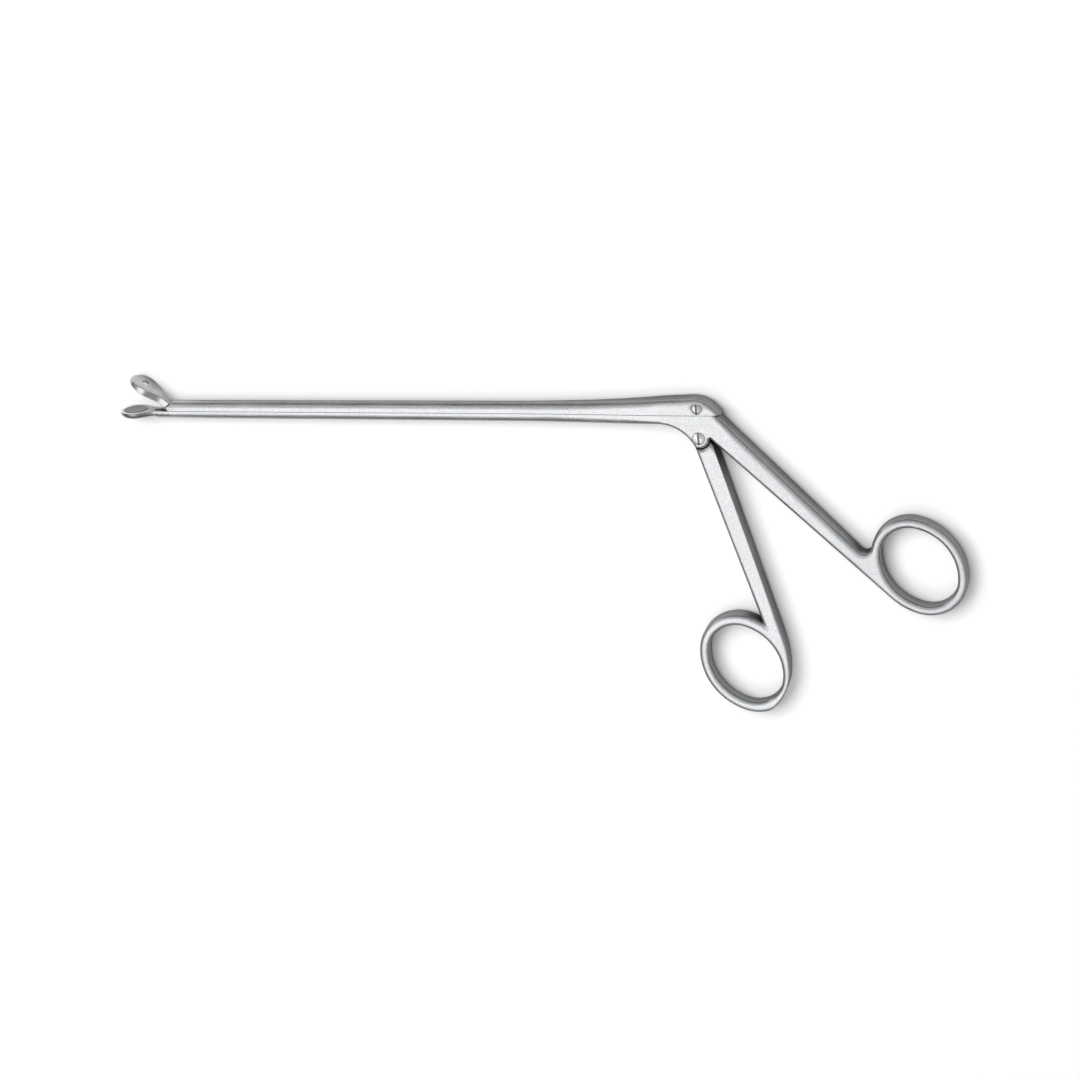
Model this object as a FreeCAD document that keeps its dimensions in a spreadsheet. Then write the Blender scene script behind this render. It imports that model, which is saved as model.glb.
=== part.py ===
import FreeCAD, Part
import math
import os
import Sketcher

# A laminectomy rongeur of satin stainless steel, lying on its side as on an instrument tray. The
# shaft runs along X with the jaws at the -X end, +Y points from the shaft's lower bar to its slide,
# and Z is the instrument's thickness. The origin is on the axis of the pivot screw, in the side
# face of the body that lies down. The jaws are open and the handles spread, as they are at rest.

# Driving sizes in millimetres and degrees: name, value and what it measures.
SIZES = [
    ("body_width", 7.0, "thickness of the body over its two cheeks"),
    ("parting_height", 7.5, "height of the sliding plane above the pivot screw"),
    ("running_gap", 0.03, "clearance under the slide and on each side of sliding pieces"),
    ("through", 400.0, "length of the cuts that go right through a piece"),
    ("hole_gap", 0.02, "radial clearance of pins and screws in round holes"),
    ("tip_reach", 191.5, "from the pivot screw forward to the tip of the closed jaws"),
    # The shaft is two bars. Their common width and their two heights grow towards the body.
    ("front_station", 178.0, "front station of both bars, ahead of the pivot"),
    ("shaft_width", 4.2, "width of both bars at the front"),
    ("bar_depth", 2.6, "height of the lower bar at the front"),
    ("slide_height", 3.15, "height of the slide at the front"),
    ("shaft_corner", 2.0, "radius on the long edges of both bars at the front"),
    ("swell_station", 60.0, "station where the swelling starts, ahead of the pivot"),
    ("swell_width", 4.6, "width of both bars there"),
    ("swell_depth", 2.95, "height of the lower bar there"),
    ("swell_height", 3.4, "height of the slide there"),
    ("swell_corner", 2.1, "edge radius there"),
    ("third_width", 5.1, "width of both bars a third of the way up the swelling"),
    ("third_depth", 3.1, "height of the lower bar there"),
    ("third_height", 3.58, "height of the slide there"),
    ("third_corner", 2.2, "edge radius there"),
    ("neck_width", 5.9, "width of both bars two thirds of the way up"),
    ("neck_depth", 3.25, "height of the lower bar there"),
    ("neck_height", 3.95, "height of the slide there"),
    ("neck_corner", 2.0, "edge radius there"),
    ("body_station", 12.0, "station where both bars reach the full body width"),
    ("body_depth", 3.1, "height of the lower bar there"),
    ("body_ledge", 0.02, "how far the bars' ends stay below the body's faces"),
    ("handle_edge", 1.2, "rounding along the body, both handles and the slide's tail"),
    # The slide's nose and its domed tail.
    ("nose_reach", 175.4, "from the pivot forward to the nose of the slide, jaws open"),
    ("nose_height", 1.0, "height of the nose's upright front above the sliding plane"),
    ("nose_foot", 0.4, "how far the nose is cut back at its foot"),
    ("nose_foot_height", 0.8, "height over which it is cut back"),
    ("nose_angle", 45.0, "slope of the nose above its upright front"),
    ("crown_lead", 2.15, "crown of the tail, ahead of the pivot"),
    ("crown_height", 5.2, "height of the crown above the sliding plane"),
    ("crown_rise", 2.6, "slope of the tail's top line up to its crown, in degrees"),
    ("crown_radius", 9.5, "radius from the crown round to the tail's back slope"),
    ("tail_corner", 2.4, "rounding of the tail's rear end, seen from above"),
    ("back_angle", 45.0, "slope of the tail's back, in line with the rear handle"),
    # The two guides that hold the slide down are T-shaped in section.
    ("guide_neck", 1.2, "width of a guide's neck"),
    ("guide_neck_height", 0.55, "height of a guide's neck"),
    ("guide_head", 2.2, "width of a guide's head"),
    ("guide_head_height", 0.6, "thickness of a guide's head"),
    ("guide_length", 5.0, "length of each guide"),
    ("guide_gap", 0.06, "clearance round a guide in its groove"),
    ("front_guide", 163.0, "rear end of the front guide, ahead of the pivot"),
    ("rear_guide", 34.0, "rear end of the rear guide, ahead of the pivot"),
    # The jaws: two round cups on one plan shape.
    ("cup_radius", 4.9, "outer radius of both cups"),
    ("rim_width", 0.8, "wall of a cup at its rim"),
    ("cup_depth", 2.1, "height of the lower jaw"),
    ("cup_hollow", 1.55, "depth of the hollow in each cup"),
    ("tip_wall", 0.95, "height of a jaw's wall at its tip"),
    ("tip_overlap", 0.4, "how far the upper jaw reaches past the lower one, jaws closed"),
    ("jaw_height", 2.2, "greatest height of the upper jaw"),
    ("jaw_crown", 6.2, "from the tip back to where the upper jaw reaches its full height"),
    ("flank_start", 2.4, "from the cup's centre back to where its flanks leave the circle"),
    ("jaw_neck", 3.4, "width of the upper jaw at its neck"),
    ("jaw_slant", 0.5, "how far the top of the upper jaw's neck reaches back over its foot"),
    ("waist_radius", 6.5, "hollow radius that leads each flank into the neck"),
    ("jaw_edge", 0.35, "rounding along the outer edges of the upper jaw"),
    ("bowl_edge", 1.7, "rounding along the underside of the lower jaw"),
    ("root_station", 181.5, "where the lower jaw's neck starts to fill out to the bar"),
    ("root_width", 3.9, "width of the neck there"),
    ("root_corner", 1.75, "edge radius of the neck there"),
    ("drain_hole", 2.1, "diameter of the hole through the upper cup"),
    ("drain_sink", 3.1, "diameter of the hole's countersink"),
    ("jaw_opening", 40.0, "angle between the open jaws"),
    # The jaw's linkage.
    ("hinge_reach", 175.0, "from the pivot forward to the jaw's pivot pin"),
    ("hinge_depth", 1.25, "jaw's pivot pin below the sliding plane"),
    ("drive_height", 1.0, "jaw's drive pin above the sliding plane"),
    ("pin_width", 1.0, "diameter of both jaw pins"),
    ("tongue_width", 1.2, "thickness of the upper jaw's tongue"),
    ("tongue_wall", 0.38, "metal round the tongue's two holes"),
    ("tongue_gap", 0.05, "clearance beside and over the tongue"),
    ("tongue_web", 3.4, "how far ahead of its pin the tongue's web starts"),
    ("web_depth", 0.3, "depth of the web's front end below the sliding plane"),
    ("slot_front", 180.0, "front end of the tongue's slot in the lower jaw"),
    ("slot_lip", 0.6, "depth of the slot at its front end"),
    ("slot_rear", 172.6, "rear end of the tongue's slots, ahead of the pivot"),
    ("shoulder_play", 0.2, "gap between the upper jaw and the slide's nose, jaws closed"),
    # The handle's linkage.
    ("link_height", 9.6, "link screw above the pivot screw"),
    ("link_lead", 0.15, "link screw ahead of the pivot screw, jaws open"),
    ("link_gap", 0.05, "clearance of the link screw across its slot in the tang"),
    ("tang_width", 2.9, "thickness of the front handle's tang"),
    ("cheek_slot", 3.0, "width of the slot between the cheeks"),
    ("tang_foot", 2.9, "half the tang's breadth at the pivot"),
    ("tang_root", 7.0, "how far the tang runs down into the shank below the pivot"),
    ("tang_root_front", 1.0, "front corner of that end, behind the pivot"),
    ("tang_root_back", 4.4, "rear corner of that end, behind the pivot"),
    ("tang_top", 2.4, "half the tang's breadth at its top"),
    ("tang_wall", 0.85, "metal above the link screw's slot in the tang"),
    ("slot_lead", 4.8, "front wall of the cheek slot, ahead of the pivot"),
    ("slot_back", 4.0, "rear wall of the cheek slot, behind the pivot"),
    ("mortise_gap", 0.25, "gap over the tang's top in the slide"),
    ("mortise_lead", 2.95, "front foot of the slide's mortise, ahead of the pivot"),
    ("mortise_back", 3.5, "rear foot of the slide's mortise, behind the pivot"),
    # Screws.
    ("pivot_head", 4.0, "diameter of the pivot screw's head"),
    ("pivot_shank", 2.8, "diameter of the pivot screw in the tang"),
    ("pivot_thread", 2.4, "diameter of the pivot screw in the far cheek"),
    ("link_head", 3.1, "diameter of the link screw's head"),
    ("link_shank", 2.0, "diameter of the link screw in the tang"),
    ("link_thread", 1.7, "diameter of the link screw in the far cheek"),
    ("head_depth", 1.0, "depth of both heads in their cheek"),
    ("head_dome", 0.25, "height of the heads' domes over the cheek"),
    ("head_gap", 0.04, "radial clearance round both heads"),
    ("screw_slot", 0.5, "width of both screwdriver slots"),
    ("screw_slot_depth", 0.55, "depth of both screwdriver slots"),
    ("screw_recess", 0.2, "how far the screws' ends stay below the far cheek"),
    # The body's outline round the pivot.
    ("boss_radius", 3.55, "radius of the boss round the pivot screw"),
    ("throat_radius", 13.2, "radius of the hollow from the shaft down to the boss"),
    ("boss_start", 114.0, "where the hollow meets the boss, degrees down and round from backward"),
    ("vee_angle", 5.0, "where the rear handle leaves the boss, degrees down from backward"),
    # Both finger rings are ovals of four arcs with one wall all round.
    ("ring_length", 28.0, "long opening of both finger rings"),
    ("ring_breadth", 21.6, "short opening of both finger rings"),
    ("ring_end", 9.0, "inner radius of the ovals at their ends"),
    ("ring_wall", 3.2, "breadth of the rings' wall"),
    ("ring_thickness", 4.8, "thickness of both rings at their far end"),
    ("taper_start", 10.0, "from the pivot to where both handles start to thin"),
    ("rear_ring_x", 67.7, "centre of the rear ring behind the pivot"),
    ("rear_ring_drop", 42.5, "centre of the rear ring below the pivot"),
    ("rear_ring_turn", 54.0, "slope of the rear ring's long axis"),
    ("rear_slope", 46.1, "slope of the rear handle's upper edge"),
    ("ring_neck_radius", 2.2, "hollow where the rear handle meets its ring"),
    ("front_ring_x", 10.65, "centre of the front ring behind the pivot"),
    ("front_ring_drop", 76.3, "centre of the front ring below the pivot"),
    ("front_ring_turn", 58.4, "slope of the front ring's long axis"),
    ("front_ring_extra", 0.4, "extra wall of the front ring towards its ground side"),
    # The front handle's shank.
    ("shoulder_gap", 0.15, "gap between the boss and the front handle's shoulder"),
    ("shank_front", 2.42, "front edge of the shank's line ahead of the pivot"),
    ("shank_front_slope", 72.7, "slope of the shank's front edge"),
    ("shank_back", 3.72, "ground rear side of the shank behind the pivot"),
    ("shank_back_slope", 73.9, "slope of the ground rear side"),
    ("shank_surplus", 1.6, "metal ground off the shank's rear side"),
    ("ground_start", 8.0, "how far above the pivot's height the grinding starts, along the side"),
    ("ground_reach", 24.6, "rearmost line of the ground side, behind the pivot"),
    ("ground_drop", 78.5, "where the ground side reaches it, below the pivot"),
    ("ground_radius", 17.0, "radius by which the ground side leaves the ring"),
    ("closed_gap", 0.12, "gap left between the shoulder and the rear handle, handles closed"),
]


# Two places closer than this are the same one.
LEVEL_TOLERANCE = 1e-4


class Size(float):
    """A number that keeps the formula it came from. The same line of arithmetic then places a
    sketch's point and gives the expression that binds the point to the sheet."""

    def __new__(cls, value, formula):
        size = super().__new__(cls, value)
        size.formula = formula
        return size

    def __add__(self, other):
        return combined(float(self) + float(other), self, "+", other)

    def __radd__(self, other):
        return combined(float(other) + float(self), other, "+", self)

    def __sub__(self, other):
        return combined(float(self) - float(other), self, "-", other)

    def __rsub__(self, other):
        return combined(float(other) - float(self), other, "-", self)

    def __mul__(self, other):
        return combined(float(self) * float(other), self, "*", other)

    def __rmul__(self, other):
        return combined(float(other) * float(self), other, "*", self)

    def __truediv__(self, other):
        return combined(float(self) / float(other), self, "/", other)

    def __neg__(self):
        return combined(-float(self), 0, "-", self)


def formula_of(number):
    return number.formula if isinstance(number, Size) else f"{float(number):.9g}"


def combined(value, left, sign, right):
    return Size(value, f"({formula_of(left)} {sign} {formula_of(right)})")


def sine(angle):
    return Size(math.sin(math.radians(angle)), f"sin({formula_of(angle)})")


def cosine(angle):
    return Size(math.cos(math.radians(angle)), f"cos({formula_of(angle)})")


def tangent(angle):
    return Size(math.tan(math.radians(angle)), f"tan({formula_of(angle)})")


def root(number):
    return Size(math.sqrt(number), f"sqrt({formula_of(number)})")


def fill_sheet(document):
    """The sheet of driving sizes, and the sizes by name."""
    sheet = document.addObject("Spreadsheet::Sheet", "Sizes")
    sizes = {}
    for row, (name, value, meaning) in enumerate(SIZES, start=1):
        sheet.set(f"A{row}", meaning)
        sheet.set(f"B{row}", str(value))
        sheet.setAlias(f"B{row}", name)
        sizes[name] = Size(value, f"Sizes.{name}")
    document.recompute()
    return sizes


def start_body(name):
    """An empty body. Its own zero height is the instrument's middle plane."""
    body = document.addObject("PartDesign::Body", name)
    body.Label = name
    body.setExpression("Placement.Base.z", "Sizes.body_width / 2")
    return body


def new_sketch(body, role, name, offset=0):
    """A sketch on one of the body's own planes, moved along the plane's normal by the offset."""
    sketch = body.newObject("Sketcher::SketchObject", f"{body.Name}_{name}")
    plane = [feature for feature in body.Origin.OriginFeatures if feature.Role == role][0]
    sketch.AttachmentSupport = (plane, [""])
    sketch.MapMode = "FlatFace"
    sketch.setExpression("AttachmentOffset.Base.z", formula_of(offset))
    return sketch


def bind_point(sketch, edge, end, x, y):
    """Hold one end of an edge at a place that is worked out from the sheet."""
    for direction, number in (("DistanceX", x), ("DistanceY", y)):
        index = sketch.addConstraint(
            Sketcher.Constraint(direction, -1, 1, edge, end, float(number))
        )
        sketch.setExpression(f"Constraints[{index}]", formula_of(number))


def bind_radius(sketch, edge, radius):
    index = sketch.addConstraint(Sketcher.Constraint("Radius", edge, float(radius)))
    sketch.setExpression(f"Constraints[{index}]", formula_of(radius))


def draw(sketch, corners):
    """A closed outline through the corners (x, y) or (x, y, radius). A radius makes the edge that
    leads to its corner an arc, which bends to the left, or to the right where it is negative."""
    first = sketch.GeometryCount
    starts = corners[-1:] + corners[:-1]
    ends = []
    for start, corner in zip(starts, corners):
        a = FreeCAD.Vector(float(start[0]), float(start[1]), 0)
        b = FreeCAD.Vector(float(corner[0]), float(corner[1]), 0)
        if len(corner) == 2:
            sketch.addGeometry(Part.LineSegment(a, b), False)
            ends.append((1, 2))
            continue
        radius = float(corner[2])
        half = (b - a) * 0.5
        rise = math.sqrt(max(radius**2 - half.Length**2, 0)) * math.copysign(1, radius)
        centre = a + half + FreeCAD.Vector(-half.y, half.x, 0).normalize() * rise
        turns = [math.atan2(p.y - centre.y, p.x - centre.x) for p in (a, b)]
        if radius < 0:
            turns.reverse()
        circle = Part.Circle(centre, FreeCAD.Vector(0, 0, 1), abs(radius))
        sketch.addGeometry(Part.ArcOfCircle(circle, *turns), False)
        ends.append((1, 2) if radius > 0 else (2, 1))
    count = len(corners)
    for i, corner in enumerate(corners):
        after = (i + 1) % count
        sketch.addConstraint(
            Sketcher.Constraint("Coincident", first + i, ends[i][1], first + after, ends[after][0])
        )
        bind_point(sketch, first + i, ends[i][1], corner[0], corner[1])
        if len(corner) == 3:
            bind_radius(sketch, first + i, corner[2] if corner[2] > 0 else -corner[2])


def draw_circle(sketch, x, y, diameter):
    edge = sketch.GeometryCount
    centre = FreeCAD.Vector(float(x), float(y), 0)
    sketch.addGeometry(Part.Circle(centre, FreeCAD.Vector(0, 0, 1), float(diameter) / 2), False)
    bind_point(sketch, edge, 3, x, y)
    bind_radius(sketch, edge, diameter / 2)


def add_feature(body, kind, name, **values):
    """A feature of the body, with each size bound to its formula and every other value set."""
    feature = body.newObject(f"PartDesign::{kind}", f"{body.Name}_{name}")
    for key, value in values.items():
        if isinstance(value, Size):
            feature.setExpression(key, value.formula)
        else:
            setattr(feature, key, value)
    return feature


def pad(body, sketch, name, length, symmetric=True, reverse=False):
    side = "Symmetric" if symmetric else "One side"
    return add_feature(
        body, "Pad", name, Profile=sketch, Length=length, SideType=side, Reversed=reverse
    )


def pocket(body, sketch, name, length, symmetric=True, reverse=False):
    """A cut of a stated depth, which has to take metal away."""
    document.recompute()
    before = body.Shape.Volume
    side = "Symmetric" if symmetric else "One side"
    cut = add_feature(
        body, "Pocket", name, Profile=sketch, Length=length, SideType=side, Reversed=reverse
    )
    document.recompute()
    if not 0 < body.Shape.Volume < before:
        raise ValueError(f"{name} is no proper cut")
    return cut


def round_edges(body, name, radius, wanted):
    """Round each edge of the body for which wanted says yes, given the edge's middle and box."""
    document.recompute()
    names = []
    for number, edge in enumerate(body.Tip.Shape.Edges, start=1):
        middle = edge.valueAt((edge.FirstParameter + edge.LastParameter) / 2)
        if wanted(middle, edge.BoundBox):
            names.append(f"Edge{number}")
    rounding = add_feature(body, "Fillet", name, Base=(body.Tip, names), Radius=radius)
    document.recompute()
    return rounding


def is_upright(box):
    return box.XLength < LEVEL_TOLERANCE and box.YLength < LEVEL_TOLERANCE


def oval(x, y, turn, length, breadth, end_radius, wall=0):
    """Corners of an oval of four arcs whose long axis slopes down by the turn. The wall is added
    all round, so that two ovals with the same centres enclose a band of even breadth."""
    half_length = length / 2
    half_breadth = breadth / 2
    side_radius = (
        half_length * half_length - 2 * half_length * end_radius + half_breadth * half_breadth
    ) / (2 * (half_breadth - end_radius))
    along = half_length - end_radius
    across = side_radius - half_breadth
    reach = (side_radius + wall) / (side_radius - end_radius)
    u = along * reach
    v = across * reach - across
    radii = (side_radius + wall, end_radius + wall)
    corners = []
    for sign_u, sign_v, radius in ((1, -1, 0), (1, 1, 1), (-1, 1, 0), (-1, -1, 1)):
        corners.append(
            (
                x + sign_u * (u * cosine(turn)) + sign_v * (v * sine(turn)),
                y - sign_u * (u * sine(turn)) + sign_v * (v * cosine(turn)),
                radii[radius],
            )
        )
    return corners, across, side_radius + wall


def touching_point(x, y, centre_x, centre_y, radius, side):
    """Where a line from (x, y) touches a circle, on its left (1) or on its right (-1)."""
    run = centre_x - x
    rise = centre_y - y
    square = run * run + rise * rise
    reach = root(square - radius * radius)
    scale = reach / square
    return (
        x + scale * (reach * run - side * (radius * rise)),
        y + scale * (reach * rise + side * (radius * run)),
    )


def draw_section(sketch, base, half_width, height, corner):
    """A bar's section above a flat base, for a positive height, or below it: two upright sides, two
    rounded corners and a narrow flat between them."""
    bend = 1 if height > 0 else -1
    top = base + height
    shoulder = top - bend * corner
    flat = half_width - corner
    draw(
        sketch,
        [
            (base, half_width),
            (base, -half_width),
            (shoulder, -half_width),
            (top, -flat, bend * corner),
            (top, flat),
            (shoulder, half_width, bend * corner),
        ],
    )


def stations():
    """Station, half width, height of the lower bar, height of the slide and edge radius."""
    tail_line = size["crown_height"] - tangent(size["crown_rise"]) * (
        size["body_station"] - size["crown_lead"]
    )
    third = (size["swell_station"] - size["body_station"]) / 3
    ledge = size["body_ledge"]
    return [
        (size["front_station"], size["shaft_width"] / 2, size["bar_depth"],
         size["slide_height"], size["shaft_corner"]),
        (size["swell_station"], size["swell_width"] / 2, size["swell_depth"],
         size["swell_height"], size["swell_corner"]),
        (size["swell_station"] - third, size["third_width"] / 2, size["third_depth"],
         size["third_height"], size["third_corner"]),
        (size["body_station"] + third, size["neck_width"] / 2, size["neck_depth"],
         size["neck_height"], size["neck_corner"]),
        (size["body_station"], size["body_width"] / 2 - ledge, size["body_depth"] - ledge,
         tail_line - ledge, size["handle_edge"] + ledge),
    ]


def loft_bar(body, name, sections):
    """A bar through sections given as station, base, half width, height and corner: straight from
    the first to the second, and one smooth swelling through the rest."""
    sketches = []
    for number, (station, *section) in enumerate(sections):
        sketch = new_sketch(body, "YZ_Plane", f"{name}_section_{number}", -station)
        draw_section(sketch, *section)
        sketches.append(sketch)
    document.recompute()
    add_feature(
        body, "AdditiveLoft", f"{name}_straight", Profile=sketches[0], Sections=[sketches[1]]
    )
    if sketches[2:]:
        add_feature(
            body, "AdditiveLoft", f"{name}_swelling", Profile=sketches[1], Sections=sketches[2:]
        )


def jaw_plan(sketch, tip, end, neck_width):
    """Plan of a jaw: a round cup whose straight flanks run through a hollow into the neck."""
    radius = size["cup_radius"]
    centre = tip + radius
    waist = size["waist_radius"]
    start = size["flank_start"]
    flank_width = root(radius * radius - start * start)
    slope = start / flank_width
    neck = neck_width / 2
    hollow_width = neck + waist * (1 - flank_width / radius)
    hollow_start = start + (flank_width - hollow_width) / slope
    hollow_end = hollow_start + waist * (start / radius)
    draw(
        sketch,
        [
            (end, neck),
            (centre + hollow_end, neck),
            (centre + hollow_start, hollow_width, -waist),
            (centre + start, flank_width),
            (tip, 0, radius),
            (centre + start, -flank_width, radius),
            (centre + hollow_start, -hollow_width),
            (centre + hollow_end, -neck, -waist),
            (end, -neck),
        ],
    )


def hollow_cup(body, centre, rim, depth):
    """Scoop a cup: a shallow part of a ball, turned about the cup's own axis. A negative depth
    goes down from the rim."""
    sketch = new_sketch(body, "XY_Plane", "hollow")
    sketch.setExpression("AttachmentOffset.Base.x", formula_of(centre))
    radius = size["cup_radius"] - size["rim_width"]
    ball = (radius * radius + depth * depth) / (2 * depth)
    draw(
        sketch,
        [
            (0, rim - depth),
            (radius, rim - depth),
            (radius, rim),
            (0, rim + depth, ball),
        ],
    )
    add_feature(
        body, "Groove", "scoop", Profile=sketch, ReferenceAxis=(sketch, ["V_Axis"]), Angle=360.0
    )


def tongue_slot(body, top, bottom):
    """The narrow slot that the upper jaw's tongue swings in, between two heights."""
    sketch = new_sketch(body, "XY_Plane", "tongue_slot")
    width = size["tongue_width"] + 2 * size["tongue_gap"]
    draw(
        sketch,
        [
            (-size["slot_front"], top),
            (-size["slot_front"], size["parting_height"] - size["slot_lip"]),
            (-size["hinge_reach"] - tongue_radius, bottom),
            (-size["slot_rear"], bottom),
            (-size["slot_rear"], top),
        ],
    )
    pocket(body, sketch, "tongue_cut", width)


def bore(body, name, x, y, diameter):
    """A round hole along Z through the whole body."""
    sketch = new_sketch(body, "XY_Plane", name)
    draw_circle(sketch, x, y, diameter)
    pocket(body, sketch, f"{name}_cut", size["through"])


def screw_seat(body, name, x, y, head, shank, thread):
    """Holes for a screw: a seat for its head in the near cheek, a bore for its shank and a
    narrower one for its thread in the far cheek."""
    half = size["body_width"] / 2
    seat = new_sketch(body, "XY_Plane", f"{name}_seat", half)
    draw_circle(seat, x, y, head + 2 * size["head_gap"])
    pocket(body, seat, f"{name}_seat_cut", size["head_depth"] + size["hole_gap"], False)
    near = new_sketch(body, "XY_Plane", f"{name}_near", half)
    draw_circle(near, x, y, shank + 2 * size["hole_gap"])
    pocket(body, near, f"{name}_near_cut", half, False)
    far = new_sketch(body, "XY_Plane", f"{name}_far")
    draw_circle(far, x, y, thread + 2 * size["hole_gap"])
    pocket(body, far, f"{name}_far_cut", size["through"], False)


def taper_sides(body, name, role, start, end):
    """Thin a handle towards its ring: both faces leave the body's faces in one long arc."""
    sketch = new_sketch(body, role, name)
    half = size["body_width"] / 2
    drop = half - size["ring_thickness"] / 2
    run = end - start
    radius = (run * run + drop * drop) / (2 * drop)
    bend = -1 if run > 0 else 1
    for side in (1, -1):
        draw(
            sketch,
            [
                (start, side * half),
                (end, side * (half - drop), side * bend * radius),
                (end, side * 2 * half),
                (start, side * 2 * half),
            ],
        )
    pocket(body, sketch, f"{name}_cut", size["through"])


def build_lower_jaw():
    """Front end of the fixed half: the cup, its flanks and the neck that fills out to the bar."""
    body = document.addObject("PartDesign::Body", "lower_jaw")
    tip = -size["tip_reach"]
    plan = new_sketch(body, "XZ_Plane", "plan", -size["parting_height"])
    jaw_plan(plan, tip, -size["front_station"], size["root_width"])
    pad(body, plan, "blank", size["cup_depth"], False)
    underside = size["parting_height"] - size["cup_depth"]
    neck_end = -size["front_station"]
    round_edges(
        body,
        "bowl",
        size["bowl_edge"],
        lambda middle, box: abs(middle.y - underside) < LEVEL_TOLERANCE
        and middle.x < neck_end - LEVEL_TOLERANCE,
    )
    base = size["parting_height"]
    loft_bar(
        body,
        "root",
        [
            (size["root_station"], base, size["root_width"] / 2,
             -size["cup_depth"], size["root_corner"]),
            (size["front_station"], base, size["shaft_width"] / 2,
             -size["bar_depth"], size["shaft_corner"]),
        ],
    )
    hollow_cup(body, tip + size["cup_radius"], base, -size["cup_hollow"])
    tongue_slot(body, base + size["cup_depth"], slot_floor)
    return body


def rear_ring_arcs(wall):
    return oval(
        size["rear_ring_x"], -size["rear_ring_drop"], size["rear_ring_turn"],
        size["ring_length"], size["ring_breadth"], size["ring_end"], wall,
    )


def rear_edge():
    """The rear handle's lower edge: from the vee at the boss to where it touches the ring."""
    vee = (
        size["boss_radius"] * cosine(size["vee_angle"]),
        -size["boss_radius"] * sine(size["vee_angle"]),
    )
    _, across, reach = rear_ring_arcs(size["ring_wall"])
    centre_x = size["rear_ring_x"] + across * sine(size["rear_ring_turn"])
    centre_y = across * cosine(size["rear_ring_turn"]) - size["rear_ring_drop"]
    return vee, touching_point(*vee, centre_x, centre_y, reach, -1)


def build_rear_half():
    """Rear end of the fixed half: the body, the rear handle with its ring and the lower bar."""
    body = document.addObject("PartDesign::Body", "rear_half")
    half = size["body_width"] / 2
    base = size["parting_height"]
    boss = size["boss_radius"]
    vee, touch = rear_edge()
    slope = size["rear_slope"]
    run = (size["rear_ring_x"] - body_back) * cosine(slope)
    run = run + (size["rear_ring_drop"] + base) * sine(slope) - size["ring_breadth"] / 2
    plate = new_sketch(body, "XY_Plane", "plate")
    draw(
        plate,
        [
            (-size["body_station"], base),
            (-size["body_station"], base - size["body_depth"]),
            (boss * cosine(size["boss_start"]), -boss * sine(size["boss_start"]),
             -size["throat_radius"]),
            (*vee, boss),
            touch,
            (body_back + run * cosine(slope), base - run * sine(slope)),
            (body_back, base),
        ],
    )
    pad(body, plate, "plate_blank", size["body_width"])
    disc = new_sketch(body, "XY_Plane", "ring")
    draw(disc, rear_ring_arcs(size["ring_wall"])[0])
    pad(body, disc, "ring_blank", size["body_width"])

    def is_ring_neck(middle, box):
        off_line = (middle.x - body_back) * math.sin(math.radians(slope))
        off_line += (middle.y - base) * math.cos(math.radians(slope))
        return is_upright(box) and abs(off_line) < LEVEL_TOLERANCE and middle.y < -2 * boss

    round_edges(body, "ring_neck", size["ring_neck_radius"], is_ring_neck)
    opening = new_sketch(body, "XY_Plane", "opening")
    draw(opening, rear_ring_arcs(0)[0])
    pocket(body, opening, "opening_cut", size["through"])
    ring_end = size["rear_ring_x"] + size["ring_length"] / 2 + 2 * size["ring_wall"]
    taper_sides(body, "taper", "XZ_Plane", size["taper_start"], ring_end)
    body_front = -size["body_station"]
    round_edges(
        body,
        "edges",
        size["handle_edge"],
        lambda middle, box: not is_upright(box)
        and abs(middle.z) > size["ring_thickness"] / 2 - LEVEL_TOLERANCE
        and middle.y < base - LEVEL_TOLERANCE
        and middle.x > body_front + LEVEL_TOLERANCE
        and not (abs(middle.x - size["taper_start"]) < LEVEL_TOLERANCE
                 and box.XLength < LEVEL_TOLERANCE),
    )
    loft_bar(body, "bar", [(s, base, w, -depth, c) for s, w, depth, _, c in stations()])

    slot = new_sketch(body, "XY_Plane", "cheek_slot")
    draw(
        slot,
        [
            (-size["slot_lead"], -2 * boss),
            (size["slot_back"], -2 * boss),
            (size["slot_back"], base + boss),
            (-size["slot_lead"], base + boss),
        ],
    )
    pocket(body, slot, "cheek_slot_cut", size["cheek_slot"])
    screw_seat(body, "pivot", 0, 0, size["pivot_head"], size["pivot_shank"], size["pivot_thread"])
    bore(body, "hinge_bore", -size["hinge_reach"], base - size["hinge_depth"],
         size["pin_width"] + 2 * size["hole_gap"])
    tongue_slot(body, base + size["cup_depth"], slot_floor)
    for name in ("front_guide", "rear_guide"):
        cut_groove(body, name)
    return body


def cut_groove(body, name):
    """A T-shaped groove, as long as its guide and the travel, with a window behind it through
    which the guide's head goes in."""
    gap = size["guide_gap"]
    front = -size[name] - size["guide_length"] - travel - gap
    rear = -size[name] + gap
    window = rear + size["guide_length"] + 2 * gap
    neck = size["guide_neck"] / 2 + gap
    head = size["guide_head"] / 2 + gap
    base = size["parting_height"]
    depth = size["guide_neck_height"] + size["guide_head_height"] + gap
    throat = new_sketch(body, "XZ_Plane", f"{name}_neck", -base)
    draw(throat, [(front, -neck), (window, -neck), (window, neck), (front, neck)])
    pocket(body, throat, f"{name}_neck_cut", depth, False, True)
    entry = new_sketch(body, "XZ_Plane", f"{name}_entry", -base)
    draw(entry, [(rear, -head), (window, -head), (window, head), (rear, head)])
    pocket(body, entry, f"{name}_entry_cut", depth, False, True)
    level = size["guide_neck_height"] - gap
    under = new_sketch(body, "XZ_Plane", f"{name}_head", level - base)
    draw(under, [(front, -head), (window, -head), (window, head), (front, head)])
    pocket(body, under, f"{name}_head_cut", depth - level, False, True)


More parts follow.
